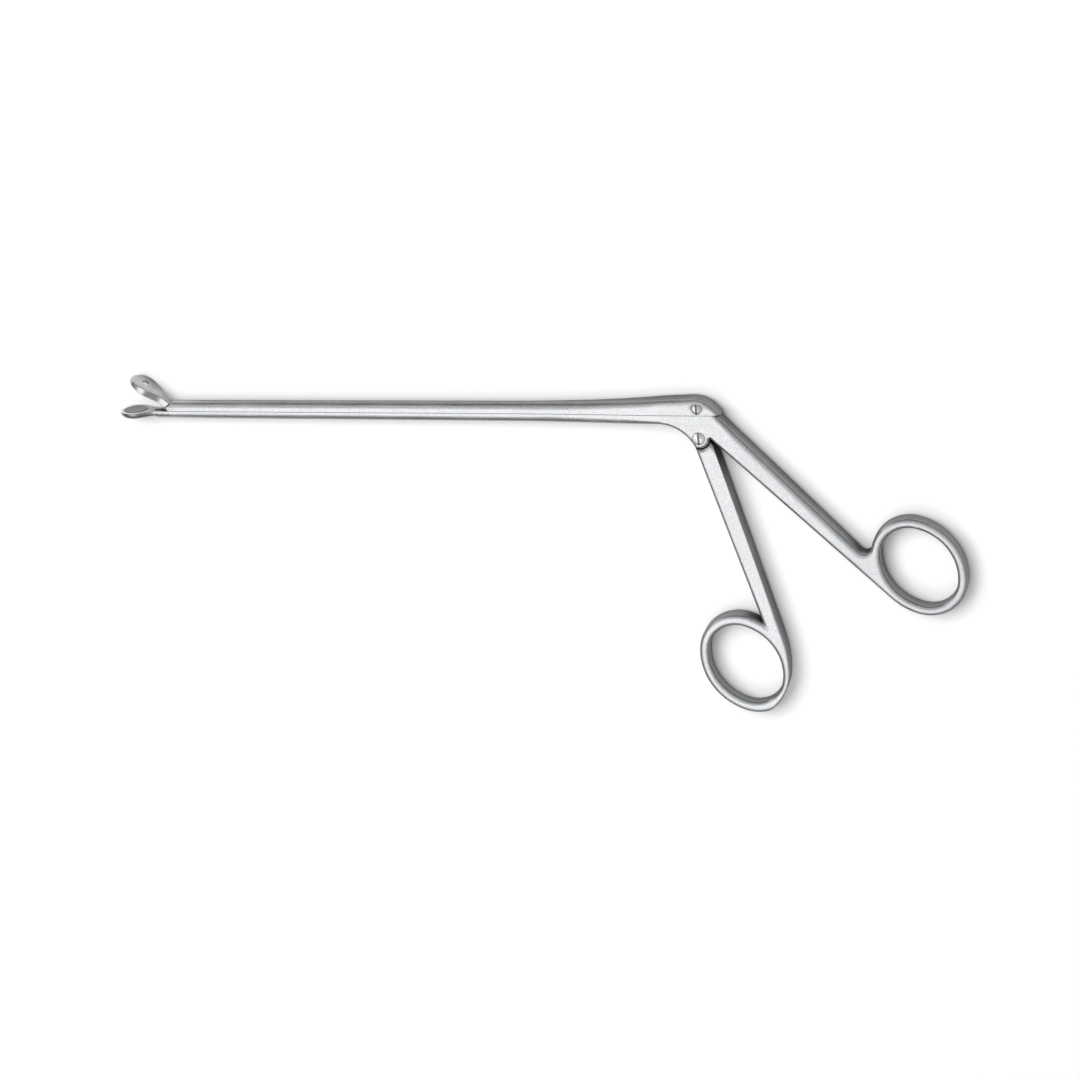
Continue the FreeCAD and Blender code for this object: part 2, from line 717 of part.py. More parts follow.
def build_fixed_half():
    """One forging, from the lower cup to the rear finger ring."""
    fixed = document.addObject("Part::Fuse", "fixed_half")
    fixed.Label = "fixed_half"
    fixed.Base = build_rear_half()
    fixed.Tool = build_lower_jaw()
    fixed.Refine = True
    fixed.setExpression("Placement.Base.z", "Sizes.body_width / 2")
    return fixed


def build_slide():
    """The slide: a round-topped bar with a sloped nose, two guides and a domed tail."""
    body = start_body("slide_bar")
    base = size["parting_height"] + size["running_gap"]
    parting = size["parting_height"]
    half = size["body_width"] / 2
    rise = size["crown_rise"]
    back = size["back_angle"]
    crown_x = -size["crown_lead"]
    crown_y = parting + size["crown_height"]
    turn = size["crown_radius"]
    end_x, end_y = tail_corner()
    line_y = crown_y - tangent(rise) * (size["body_station"] - size["crown_lead"])
    tail = new_sketch(body, "XY_Plane", "tail")
    draw(
        tail,
        [
            (-size["body_station"], line_y),
            (-size["body_station"], base),
            (end_x - size["running_gap"] / tangent(back), base),
            (crown_x + turn * (sine(rise) + sine(back)), end_y),
            (crown_x, crown_y, turn),
        ],
    )
    pad(body, tail, "tail_blank", size["body_width"])
    tail_front = -size["body_station"]
    round_edges(
        body,
        "tail_edges",
        size["handle_edge"],
        lambda middle, box: abs(middle.z) > half - LEVEL_TOLERANCE
        and middle.y > base + LEVEL_TOLERANCE
        and middle.x > tail_front + LEVEL_TOLERANCE,
    )
    corner = size["tail_corner"]
    plan = new_sketch(body, "XZ_Plane", "tail_plan", -parting)
    for side in (1, -1):
        draw(
            plan,
            [
                (end_x - corner, side * half),
                (end_x, side * (half - corner), -side * corner),
                (end_x + corner, side * (half - corner)),
                (end_x + corner, side * (half + corner)),
                (end_x - corner, side * (half + corner)),
            ],
        )
    pocket(body, plan, "tail_plan_cut", size["through"])
    loft_bar(
        body,
        "bar",
        [(s, base, w, parting + height - base, c) for s, w, _, height, c in stations()],
    )
    trim_nose(body, base)
    for name in ("front_guide", "rear_guide"):
        add_guide(body, name, base)
    tongue_slot(body, slot_roof, base - size["cup_depth"])
    bore(body, "drive_bore", drive_x, parting + size["drive_height"],
         size["pin_width"] + 2 * size["hole_gap"])
    mortise = new_sketch(body, "XY_Plane", "mortise")
    crown = size["tang_top"] + size["mortise_gap"]
    middle = -size["link_lead"] * (tang_centre / link_open)
    top = size["link_height"] * (tang_centre / link_open)
    draw(
        mortise,
        [
            (-size["mortise_lead"], parting - half),
            (size["mortise_back"], parting - half),
            (middle + crown, top),
            (middle, top + crown, crown),
            (middle - crown, top, crown),
        ],
    )
    pocket(body, mortise, "mortise_cut", size["cheek_slot"])
    screw_seat(body, "link", -size["link_lead"], size["link_height"], size["link_head"],
               size["link_shank"], size["link_thread"])
    return body


def trim_nose(body, base):
    """Cut the bar's front end to the nose: a short undercut foot, an upright front and a slope."""
    upright = size["parting_height"] + size["nose_height"]
    foot = size["nose_foot"]
    tall = size["slide_height"] * 2
    nose = -size["nose_reach"]
    sketch = new_sketch(body, "XY_Plane", "nose")
    draw(
        sketch,
        [
            (nose + foot, base - foot),
            (nose + foot, base),
            (nose, base + size["nose_foot_height"]),
            (nose, upright),
            (nose + (base + tall - upright) / tangent(size["nose_angle"]), base + tall),
            (-size["tip_reach"], base + tall),
            (-size["tip_reach"], base - foot),
        ],
    )
    pocket(body, sketch, "nose_cut", size["through"])


def add_guide(body, name, base):
    front = -size[name] - size["guide_length"]
    rear = -size[name]
    for part, width, level, height in (
        ("neck", size["guide_neck"] / 2, base, size["guide_neck_height"] + size["running_gap"]),
        ("head", size["guide_head"] / 2, size["parting_height"] - size["guide_neck_height"],
         size["guide_head_height"]),
    ):
        sketch = new_sketch(body, "XZ_Plane", f"{name}_{part}", -level)
        draw(sketch, [(front, -width), (rear, -width), (rear, width), (front, width)])
        pad(body, sketch, f"{name}_{part}_pad", height, False)


def tail_corner():
    """Where the tail's back meets the sliding plane, and the height at which its slope starts."""
    rise = size["crown_rise"]
    back = size["back_angle"]
    turn = size["crown_radius"]
    drop = size["crown_height"] - turn * (cosine(rise) - cosine(back))
    x = turn * (sine(rise) + sine(back)) - size["crown_lead"] + drop / tangent(back)
    return x, size["parting_height"] + drop


def build_upper_jaw():
    """The upper jaw, drawn closed round its pivot pin and turned open by its placement."""
    body = start_body("upper_jaw")
    body.setExpression("Placement.Base.x", "-Sizes.hinge_reach")
    body.setExpression("Placement.Base.y", "Sizes.parting_height - Sizes.hinge_depth")
    body.Placement.Rotation = FreeCAD.Rotation(FreeCAD.Vector(0, 0, 1), -1)
    body.setExpression("Placement.Rotation.Angle", "-Sizes.jaw_opening")
    tip = size["hinge_reach"] - size["tip_reach"] - size["tip_overlap"]
    rim = size["hinge_depth"] + size["running_gap"]
    top = rim + size["jaw_height"]
    end = size["hinge_reach"] - size["nose_reach"] - travel - size["shoulder_play"]
    drop = size["jaw_height"] - size["tip_wall"]
    crown = size["jaw_crown"]
    side = new_sketch(body, "XY_Plane", "side")
    draw(
        side,
        [
            (tip, rim),
            (end, rim),
            (end + size["jaw_slant"], top),
            (tip + crown, top),
            (tip, top - drop, (crown * crown + drop * drop) / (2 * drop)),
        ],
    )
    pad(body, side, "side_blank", 3 * size["cup_radius"])
    plan = new_sketch(body, "XZ_Plane", "plan")
    margin = size["rim_width"]
    wide = 2 * size["cup_radius"]
    beyond = end + size["jaw_slant"] + margin
    jaw_plan(plan, tip, beyond, size["jaw_neck"])
    draw(plan, [(tip - margin, -wide), (beyond + margin, -wide), (beyond + margin, wide),
                (tip - margin, wide)])
    pocket(body, plan, "plan_cut", size["through"])
    round_edges(
        body,
        "outer_edge",
        size["jaw_edge"],
        lambda middle, box: middle.y > top - drop - LEVEL_TOLERANCE
        and box.XLength > LEVEL_TOLERANCE,
    )
    hollow_cup(body, tip + size["cup_radius"], rim, size["cup_hollow"])
    drain = new_sketch(body, "XY_Plane", "drain")
    drain.setExpression("AttachmentOffset.Base.x", formula_of(tip + size["cup_radius"]))
    hole = size["drain_hole"] / 2
    sink = size["drain_sink"] / 2
    draw(
        drain,
        [
            (0, rim),
            (hole, rim),
            (hole, top - (sink - hole)),
            (sink, top),
            (sink, top + hole),
            (0, top + hole),
        ],
    )
    add_feature(
        body, "Groove", "drain_cut", Profile=drain, ReferenceAxis=(drain, ["V_Axis"]), Angle=360.0
    )
    add_tongue(body, rim)
    return body


def add_tongue(body, rim):
    """The thin tongue: an eye round the pivot pin, a longer one round the drive pin's slot and a
    web that ties both to the jaw."""
    lean = size["jaw_opening"] / 2
    lean_x = -sine(lean)
    lean_y = cosine(lean)
    radius = tongue_radius
    web_x = -size["tongue_web"]
    web_y = size["hinge_depth"] - size["web_depth"]
    inside = rim + size["tip_wall"]
    sketch = new_sketch(body, "XY_Plane", "tongue")
    draw(
        sketch,
        [
            (web_x, inside),
            (web_x, web_y),
            touching_point(web_x, web_y, 0, 0, radius, -1),
            (radius * lean_y, -radius * lean_x, radius),
            (drive_far * lean_x + radius * lean_y, drive_far * lean_y - radius * lean_x),
            ((drive_far + radius) * lean_x, (drive_far + radius) * lean_y, radius),
            (drive_far * lean_x - radius * lean_y, drive_far * lean_y + radius * lean_x, radius),
            ((inside * lean_x - radius) / lean_y, inside),
        ],
    )
    pad(body, sketch, "tongue_pad", size["tongue_width"])
    bore(body, "eye", 0, 0, size["pin_width"] + 2 * size["running_gap"])
    slot_half = size["pin_width"] / 2 + size["tongue_gap"]
    low = drive_near - size["tongue_gap"]
    high = drive_far + size["tongue_gap"]
    draw_slot(body, "drive_slot", lean_x, lean_y, low, high, slot_half)


def draw_slot(body, name, x, y, low, high, half):
    """A round-ended slot through the body, along the direction (x, y) from the origin."""
    sketch = new_sketch(body, "XY_Plane", name)
    draw(
        sketch,
        [
            (high * x + half * y, high * y - half * x),
            ((high + half) * x, (high + half) * y, half),
            (high * x - half * y, high * y + half * x, half),
            (low * x - half * y, low * y + half * x),
            ((low - half) * x, (low - half) * y, half),
            (low * x + half * y, low * y - half * x, half),
        ],
    )
    pocket(body, sketch, f"{name}_cut", size["through"])


def front_ring_arcs(wall, shift):
    return oval(
        size["front_ring_x"] + shift, -size["front_ring_drop"], size["front_ring_turn"],
        size["ring_length"], size["ring_breadth"], size["ring_end"], wall,
    )


def crossing(a, b, c, d):
    """Where the line from a to b crosses the line from c to d."""
    ab = (b[0] - a[0], b[1] - a[1])
    cd = (d[0] - c[0], d[1] - c[1])
    share = ((c[0] - a[0]) * cd[1] - (c[1] - a[1]) * cd[0]) / (ab[0] * cd[1] - ab[1] * cd[0])
    return a[0] + share * ab[0], a[1] + share * ab[1]


def shoulder_line():
    """The rear handle's lower edge as the front handle sees it when closed: turned back by the
    closing angle and moved off by the gap that is left."""
    lead = size["link_lead"]
    far = lead + travel
    height = size["link_height"]
    scale = 1 / (link_open * link_closed)
    turn_cos = (lead * far + height * height) * scale
    turn_sin = (height * far - height * lead) * scale
    ends = []
    for x, y in rear_edge():
        ends.append((x * turn_cos + y * turn_sin, y * turn_cos - x * turn_sin))
    (ax, ay), (bx, by) = ends
    length = root((bx - ax) * (bx - ax) + (by - ay) * (by - ay))
    off_x = size["closed_gap"] * (by - ay) / length
    off_y = -size["closed_gap"] * (bx - ax) / length
    return (ax + off_x, ay + off_y), (bx + off_x, by + off_y)


def build_front_handle():
    """The moving handle: shank, finger ring and the thin tang that reaches up to the slide."""
    body = start_body("front_handle")
    shoulder = size["boss_radius"] + size["shoulder_gap"]
    front_cos = cosine(size["shank_front_slope"])
    front_sin = sine(size["shank_front_slope"])
    off = size["shank_front"] * front_sin
    along = size["shank_front"] * front_cos + root(shoulder * shoulder - off * off)
    left = (along * front_cos - size["shank_front"], -along * front_sin)
    drop = size["front_ring_drop"] - size["ring_breadth"] / 2
    crotch = (drop / (front_sin / front_cos) - size["shank_front"], -drop)

    back_cos = cosine(size["shank_back_slope"])
    back_sin = sine(size["shank_back_slope"])
    ground_top = (size["shank_back"], 0)
    ground_low = (size["shank_back"] + drop * back_cos, -drop * back_sin)
    surplus = (size["shank_surplus"] * back_sin, size["shank_surplus"] * back_cos)
    line_a, line_b = shoulder_line()
    corner = crossing(
        line_a,
        line_b,
        (ground_top[0] + surplus[0], ground_top[1] + surplus[1]),
        (ground_low[0] + surplus[0], ground_low[1] + surplus[1]),
    )
    wall = size["ring_wall"] + size["front_ring_extra"]
    arcs, across, reach = front_ring_arcs(wall, size["front_ring_extra"])
    centre_x = size["front_ring_x"] + size["front_ring_extra"] - across * sine(size["front_ring_turn"])
    centre_y = -size["front_ring_drop"] - across * cosine(size["front_ring_turn"])
    touch = touching_point(*corner, centre_x, centre_y, reach, 1)

    run_x = line_b[0] - line_a[0]
    run_y = line_b[1] - line_a[1]
    square = run_x * run_x + run_y * run_y
    cross = line_a[0] * run_y - line_a[1] * run_x
    foot_x = cross * run_y / square
    foot_y = -cross * run_x / square
    reach_out = root((shoulder * shoulder - cross * cross / square) / square)
    right = (foot_x + reach_out * run_x, foot_y + reach_out * run_y)

    plate = new_sketch(body, "XY_Plane", "plate")
    draw(plate, [(*left, -shoulder), crotch, touch, corner, right])
    pad(body, plate, "plate_blank", size["body_width"])
    disc = new_sketch(body, "XY_Plane", "ring")
    draw(disc, arcs)
    pad(body, disc, "ring_blank", size["body_width"])
    opening = new_sketch(body, "XY_Plane", "opening")
    draw(opening, front_ring_arcs(0, 0)[0])
    pocket(body, opening, "opening_cut", size["through"])
    ring_end = -size["front_ring_drop"] - size["ring_length"] / 2 - 2 * size["ring_wall"]
    taper_sides(body, "taper", "YZ_Plane", -size["taper_start"], ring_end)
    round_edges(
        body,
        "edges",
        size["handle_edge"],
        lambda middle, box: not is_upright(box)
        and abs(middle.z) > size["ring_thickness"] / 2 - LEVEL_TOLERANCE
        and middle.y < -size["shank_front"]
        and not (abs(middle.y + size["taper_start"]) < LEVEL_TOLERANCE
                 and box.YLength < LEVEL_TOLERANCE),
    )
    grind_back(body)
    add_tang(body)
    return body


def grind_back(body):
    """Grind the shank's rear side flat and square, and on round the ring until the cut runs out."""
    slope_cos = cosine(size["shank_back_slope"])
    slope_sin = sine(size["shank_back_slope"])
    start = size["ground_start"]
    start_y = start * slope_sin
    far_x = size["ground_reach"]
    low_y = -size["ground_drop"]
    meet_y = -(far_x - size["shank_back"]) * (slope_sin / slope_cos)
    touch = meet_y - low_y
    bend = touch * (1 + slope_sin) / slope_cos
    radius = size["ground_radius"]
    wide = far_x + 2 * radius
    sketch = new_sketch(body, "XY_Plane", "ground")
    draw(
        sketch,
        [
            (size["shank_back"] - start * slope_cos, start_y),
            (far_x - touch * slope_cos, meet_y + touch * slope_sin),
            (far_x, low_y, -bend),
            (far_x - radius, low_y - radius, -radius),
            (wide, low_y - radius),
            (wide, start_y),
        ],
    )
    pocket(body, sketch, "ground_cut", size["through"])


def add_tang(body):
    """The tang between the cheeks, with its pivot hole and the slot for the link screw."""
    foot = size["tang_foot"]
    crown = size["tang_top"]
    up_x = -size["link_lead"] / link_open
    up_y = size["link_height"] / link_open
    deep = size["tang_root"]
    sketch = new_sketch(body, "XY_Plane", "tang")
    draw(
        sketch,
        [
            (size["tang_root_front"], -deep),
            (size["tang_root_back"], -deep),
            (foot, 0),
            (tang_centre * up_x + crown * up_y, tang_centre * up_y - crown * up_x),
            ((tang_centre + crown) * up_x, (tang_centre + crown) * up_y, crown),
            (tang_centre * up_x - crown * up_y, tang_centre * up_y + crown * up_x, crown),
            (-foot, 0),
        ],
    )
    pad(body, sketch, "tang_pad", size["tang_width"])
    bore(body, "pivot_bore", 0, 0, size["pivot_shank"] + 2 * size["running_gap"])
    gap = size["link_gap"]
    draw_slot(body, "link_slot", up_x, up_y, link_open - gap, link_closed + gap,
              size["link_shank"] / 2 + gap)


def build_screw(name, x, y, head, shank, thread):
    """A shoulder screw with a low domed head and one straight slot, turned about its own axis."""
    body = start_body(name)
    body.setExpression("Placement.Base.x", formula_of(x))
    body.setExpression("Placement.Base.y", formula_of(y))
    half = size["body_width"] / 2
    inner = size["cheek_slot"] / 2
    end = size["screw_recess"] - half
    dome = size["head_dome"]
    seat = half - size["head_depth"]
    profile = new_sketch(body, "XZ_Plane", "profile")
    draw(
        profile,
        [
            (0, end),
            (thread / 2, end),
            (thread / 2, size["hole_gap"] - inner),
            (shank / 2, size["hole_gap"] - inner),
            (shank / 2, seat),
            (head / 2, seat),
            (head / 2, half),
            (0, half + dome, (head * head / 4 + dome * dome) / (2 * dome)),
        ],
    )
    add_feature(
        body, "Revolution", "turned", Profile=profile, ReferenceAxis=(profile, ["V_Axis"]),
        Angle=360.0,
    )
    slot = new_sketch(body, "XY_Plane", "slot", half + dome)
    wide = size["screw_slot"] / 2
    draw(slot, [(-wide, -head), (wide, -head), (wide, head), (-wide, head)])
    pocket(body, slot, "slot_cut", dome + size["screw_slot_depth"], False)
    return body


def build_pin(name, x, y, base, height):
    """A riveted pin, its ends filed flush with the rounded bar that holds it."""
    body = start_body(name)
    width = size["pin_width"]
    section = new_sketch(body, "YZ_Plane", "section", x - width)
    draw_section(section, base, size["shaft_width"] / 2, height, size["shaft_corner"])
    pad(body, section, "bar_slice", 2 * width, False)
    around = new_sketch(body, "XY_Plane", "around")
    tall = size["slide_height"] + size["bar_depth"]
    draw(around, [(x - 2 * width, y - tall), (x + 2 * width, y - tall), (x + 2 * width, y + tall),
                  (x - 2 * width, y + tall)])
    draw_circle(around, x, y, width)
    pocket(body, around, "filed", size["through"])
    return body


def check_and_write():
    """Refuse a failed object or a bad shape, then write one file for each piece."""
    document.recompute()
    failed = [item.Name for item in document.Objects
              if "Invalid" in item.State or "Error" in item.State]
    if failed:
        raise ValueError(f"failed: {failed}")
    os.makedirs("parts", exist_ok=True)
    for piece in pieces:
        shape = piece.Shape
        if shape.isNull() or not shape.isValid() or len(shape.Solids) != 1:
            raise ValueError(f"{piece.Label} is not one sound solid")
        shape.exportStep(os.path.join("parts", f"{piece.Label}.step"))


document = FreeCAD.newDocument("laminectomy_rongeur")
size = fill_sheet(document)

# The upper jaw swings evenly to both sides of upright over the slide's travel.
swing = size["jaw_opening"] / 2
drive_near = size["hinge_depth"] + size["drive_height"]
drive_far = drive_near / cosine(swing)
travel = 2 * (drive_near * tangent(swing))
drive_x = drive_near * tangent(swing) - size["hinge_reach"]
tongue_radius = size["pin_width"] / 2 + size["tongue_gap"] + size["tongue_wall"]
slot_floor = size["parting_height"] - size["hinge_depth"] - tongue_radius - size["tongue_gap"]
slot_roof = (
    size["parting_height"] - size["hinge_depth"] + drive_far + tongue_radius + size["tongue_gap"]
)

# The link screw stays level while the tang swings, so its distance from the pivot changes.
link_open = root(size["link_lead"] * size["link_lead"] + size["link_height"] * size["link_height"])
link_closed = root(
    (size["link_lead"] + travel) * (size["link_lead"] + travel)
    + size["link_height"] * size["link_height"]
)
tang_centre = (
    link_closed + size["link_shank"] / 2 + size["link_gap"] + size["tang_wall"] - size["tang_top"]
)

# With the jaws closed the slide's tail ends in line with the body's back.
body_back = tail_corner()[0] - travel

pieces = [
    build_fixed_half(),
    build_slide(),
    build_upper_jaw(),
    build_front_handle(),
    build_screw("pivot_screw", 0, 0, size["pivot_head"], size["pivot_shank"],
                size["pivot_thread"]),
    build_screw("link_screw", -size["link_lead"], size["link_height"], size["link_head"],
                size["link_shank"], size["link_thread"]),
    build_pin("jaw_pivot_pin", -size["hinge_reach"],
              size["parting_height"] - size["hinge_depth"], size["parting_height"],
              -size["bar_depth"]),
    build_pin("jaw_drive_pin", drive_x, size["parting_height"] + size["drive_height"],
              size["parting_height"] + size["running_gap"],
              size["slide_height"] - size["running_gap"]),
]
check_and_write()
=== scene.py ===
import math

import bpy
from mathutils import Matrix, Vector


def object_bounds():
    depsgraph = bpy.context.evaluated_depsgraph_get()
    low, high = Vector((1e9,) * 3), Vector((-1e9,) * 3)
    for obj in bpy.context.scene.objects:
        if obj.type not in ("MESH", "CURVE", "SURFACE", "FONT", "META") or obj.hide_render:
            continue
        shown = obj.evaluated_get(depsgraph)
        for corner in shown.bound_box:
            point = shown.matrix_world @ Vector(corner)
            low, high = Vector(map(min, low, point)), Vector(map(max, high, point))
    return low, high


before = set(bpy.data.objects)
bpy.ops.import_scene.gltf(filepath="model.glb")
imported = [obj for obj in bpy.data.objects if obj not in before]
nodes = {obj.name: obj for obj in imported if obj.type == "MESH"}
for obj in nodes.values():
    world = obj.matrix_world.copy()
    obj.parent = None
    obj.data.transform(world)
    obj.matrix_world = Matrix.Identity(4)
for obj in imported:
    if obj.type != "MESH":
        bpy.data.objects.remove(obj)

cad_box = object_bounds()

# The table top
# A smooth white laminate table on which the instrument lies on its side. What the steel mirrors of
# it is a painted reflection: glossy rays see a dark grey instead of the white, lighter beside the
# jaws, and darker still with painted shade from ambient occlusion close to the steel.

TABLE_REACH = 6.0
TABLE_WHITE = (0.93, 0.93, 0.93, 1.0)
# Painted reflection tones: the greys the steel sees in the table in place of its white.
PAINTED_REFLECTION_SHADE = (0.04, 0.04, 0.04, 1.0)
PAINTED_REFLECTION_OPEN = (0.38, 0.38, 0.38, 1.0)
PAINTED_REFLECTION_JAWS = (0.75, 0.75, 0.75, 1.0)
PAINTED_SHADE_REACH = 0.007
PAINTED_SHADE_CLEAR = (0.45, 0.85)
JAWS_END = -0.176
SHAFT_START = -0.164
TABLE_ROUGH = 0.75
TABLE_SHEEN = 0.2

rest_level = cad_box[0].z
table_mesh = bpy.data.meshes.new("table_top")
table_mesh.from_pydata(
    [
        (-TABLE_REACH, -TABLE_REACH, rest_level),
        (TABLE_REACH, -TABLE_REACH, rest_level),
        (TABLE_REACH, TABLE_REACH, rest_level),
        (-TABLE_REACH, TABLE_REACH, rest_level),
    ],
    [],
    [(0, 1, 2, 3)],
)
table_top = bpy.data.objects.new("table_top", table_mesh)
bpy.context.scene.collection.objects.link(table_top)

laminate = bpy.data.materials.new("white_laminate")
laminate.use_nodes = True
table_nodes = laminate.node_tree.nodes
table_links = laminate.node_tree.links
table_mesh.materials.append(laminate)


def table_mix(low, high, share, clear=None):
    """A colour between two others. Each of them is a colour or another node's output, and the
    share is an output, taken through the clear range where one is given."""
    mix = table_nodes.new("ShaderNodeMix")
    mix.data_type = "RGBA"
    for socket, tone in (("A", low), ("B", high)):
        if isinstance(tone, tuple):
            mix.inputs[socket].default_value = tone
        else:
            table_links.new(tone, mix.inputs[socket])
    if clear:
        ramp = table_nodes.new("ShaderNodeMapRange")
        ramp.inputs["From Min"].default_value = clear[0]
        ramp.inputs["From Max"].default_value = clear[1]
        table_links.new(share, ramp.inputs["Value"])
        share = ramp.outputs["Result"]
    table_links.new(share, mix.inputs["Factor"])
    return mix.outputs["Result"]


table_place = table_nodes.new("ShaderNodeTexCoord")
table_split = table_nodes.new("ShaderNodeSeparateXYZ")
table_links.new(table_place.outputs["Object"], table_split.inputs["Vector"])
# Painted shade in the reflection: ambient occlusion darkens what the steel mirrors close to it.
table_painted_shade = table_nodes.new("ShaderNodeAmbientOcclusion")
table_painted_shade.samples = 6
table_painted_shade.inputs["Distance"].default_value = PAINTED_SHADE_REACH
painted_open_reflection = table_mix(
    PAINTED_REFLECTION_JAWS, PAINTED_REFLECTION_OPEN, table_split.outputs["X"], (JAWS_END, SHAFT_START)
)
painted_reflection_tone = table_mix(PAINTED_REFLECTION_SHADE, painted_open_reflection, table_painted_shade.outputs["AO"], PAINTED_SHADE_CLEAR)
# Glossy rays see the painted reflection tones, all other rays see the white table.
light_path = table_nodes.new("ShaderNodeLightPath")
laminate_shader = table_nodes["Principled BSDF"]
table_links.new(
    table_mix(TABLE_WHITE, painted_reflection_tone, light_path.outputs["Is Glossy Ray"]),
    laminate_shader.inputs["Base Color"],
)
laminate_shader.inputs["Roughness"].default_value = TABLE_ROUGH
laminate_shader.inputs["Specular IOR Level"].default_value = TABLE_SHEEN

# The fixed half
# One forging of stainless steel: the lower cup, the lower bar, the body's two cheeks, the rear
# handle and its ring. It is ground to shape, blasted to a fine satin and brushed along its length,
# and use has polished its edges a little. The cup's rim is ground bright and carries a painted
# highlight, and everything below the rim at the cup, inside and outside, carries painted shade.

STEEL_PALE = (0.76, 0.765, 0.77, 1.0)
STEEL_DEEP = (0.44, 0.445, 0.455, 1.0)
# Painted shade colour, laid into crevices by ambient occlusion.
CREVICE_PAINTED_SHADE = (0.10, 0.095, 0.09, 1.0)
SATIN_ROUGH = 0.33
POLISHED_ROUGH = 0.18
CLOUD_SIZE = 0.014
GRAIN_SIZE = 0.00045
SCRATCH_WIDTH = 0.00030
SCRATCH_LENGTH = 0.012
SHARP_ROUNDING = 0.00022
CREVICE_SHADE_REACH = 0.0022
CREVICE_SHADE_SPAN = (0.2, 0.8)
NOISE_SPAN = (0.3, 0.7)
WORN_SPAN = (0.80, 0.99)
RELIEF_SHARE = 0.5
RELIEF_DEPTH = 0.00002


def steel(name, brushing_turn, satin=SATIN_ROUGH, rounding=0.0, limits=(), painted_light_tints=()):
    """Satin stainless steel. Its colour and roughness drift in soft clouds, with fine grain and
    long brush marks at brushing_turn from X. Edges look rounded over by SHARP_ROUNDING, plus the
    rounding where a place has passed every limit, and are worn bright where that tilts the surface.
    A limit is a direction in X and Y and the distances along it where its share goes from 0 to 1.
    Crevices, slots and partings get painted shade from ambient occlusion. A tint is a colour, a
    painted highlight or painted shade, with its share and the limits it lies past."""
    material = bpy.data.materials.new(name)
    material.use_nodes = True
    tree = material.node_tree
    shader = tree.nodes["Principled BSDF"]
    shader.inputs["Metallic"].default_value = 1.0

    def add(kind, **values):
        node = tree.nodes.new(kind)
        for key, value in values.items():
            setattr(node, key, value)
        return node

    place = add("ShaderNodeTexCoord")

    def noise(size, stretch=1.0, detail=3.0, turn=0.0):
        mapping = add("ShaderNodeMapping")
        mapping.vector_type = "TEXTURE"
        mapping.inputs["Rotation"].default_value = (0.0, 0.0, turn)
        mapping.inputs["Scale"].default_value = (size * stretch, size, size)
        texture = add("ShaderNodeTexNoise")
        texture.inputs["Scale"].default_value = 1.0
        texture.inputs["Detail"].default_value = detail
        tree.links.new(place.outputs["Object"], mapping.inputs["Vector"])
        tree.links.new(mapping.outputs["Vector"], texture.inputs["Vector"])
        return texture.outputs["Fac"]

    def remap(value, span, to_low, to_high):
        node = add("ShaderNodeMapRange")
        node.inputs["From Min"].default_value = span[0]
        node.inputs["From Max"].default_value = span[1]
        node.inputs["To Min"].default_value = to_low
        node.inputs["To Max"].default_value = to_high
        tree.links.new(value, node.inputs["Value"])
        return node.outputs["Result"]

    def combine(kind, first, second):
        node = add("ShaderNodeMath", operation=kind)
        for socket, value in zip(node.inputs, (first, second)):
            if isinstance(value, float):
                socket.default_value = value
            else:
                tree.links.new(value, socket)
        return node.outputs[0]

    cloud = noise(CLOUD_SIZE)
    grain = noise(GRAIN_SIZE, detail=2.0)
    stretch = SCRATCH_LENGTH / SCRATCH_WIDTH
    brushing = noise(SCRATCH_WIDTH, stretch=stretch, detail=4.0, turn=brushing_turn)

    rounded = add("ShaderNodeBevel", samples=8)
    rounded.inputs["Radius"].default_value = SHARP_ROUNDING

    def past(limits, share):
        for along_x, along_y, low, high in limits:
            distance = add("ShaderNodeVectorMath", operation="DOT_PRODUCT")
            distance.inputs[1].default_value = (along_x, along_y, 0.0)
            tree.links.new(place.outputs["Object"], distance.inputs[0])
            beyond = remap(distance.outputs["Value"], (low, high), 0.0, 1.0)
            share = combine("MULTIPLY", beyond, share)
        return share

    if limits:
        reach = combine("ADD", past(limits, rounding), SHARP_ROUNDING)
        tree.links.new(reach, rounded.inputs["Radius"])

    face = add("ShaderNodeNewGeometry")
    facing = add("ShaderNodeVectorMath", operation="DOT_PRODUCT")
    tree.links.new(rounded.outputs["Normal"], facing.inputs[0])
    tree.links.new(face.outputs["Normal"], facing.inputs[1])
    wear = remap(facing.outputs["Value"], WORN_SPAN, 1.0, 0.0)
    wear = combine("MULTIPLY", wear, remap(cloud, NOISE_SPAN, 0.4, 1.0))

    tone = add("ShaderNodeMix", data_type="RGBA")
    tone.inputs["A"].default_value = STEEL_DEEP
    tone.inputs["B"].default_value = STEEL_PALE
    shade = combine(
        "ADD", remap(cloud, NOISE_SPAN, 0.45, 0.75), remap(brushing, NOISE_SPAN, -0.2, 0.2)
    )
    shade = combine("ADD", shade, remap(grain, NOISE_SPAN, -0.25, 0.25))
    tree.links.new(combine("ADD", shade, combine("MULTIPLY", wear, 0.2)), tone.inputs["Factor"])
    # Painted shade: ambient occlusion darkens crevices, slots and partings towards a near-black
    # colour.
    crevice = add("ShaderNodeAmbientOcclusion", samples=8)
    crevice.inputs["Distance"].default_value = CREVICE_SHADE_REACH
    crevice_shaded = add("ShaderNodeMix", data_type="RGBA")
    crevice_shaded.inputs["A"].default_value = CREVICE_PAINTED_SHADE
    tree.links.new(remap(crevice.outputs["AO"], CREVICE_SHADE_SPAN, 0.1, 1.0), crevice_shaded.inputs["Factor"])
    tree.links.new(tone.outputs["Result"], crevice_shaded.inputs["B"])
    colour = crevice_shaded.outputs["Result"]
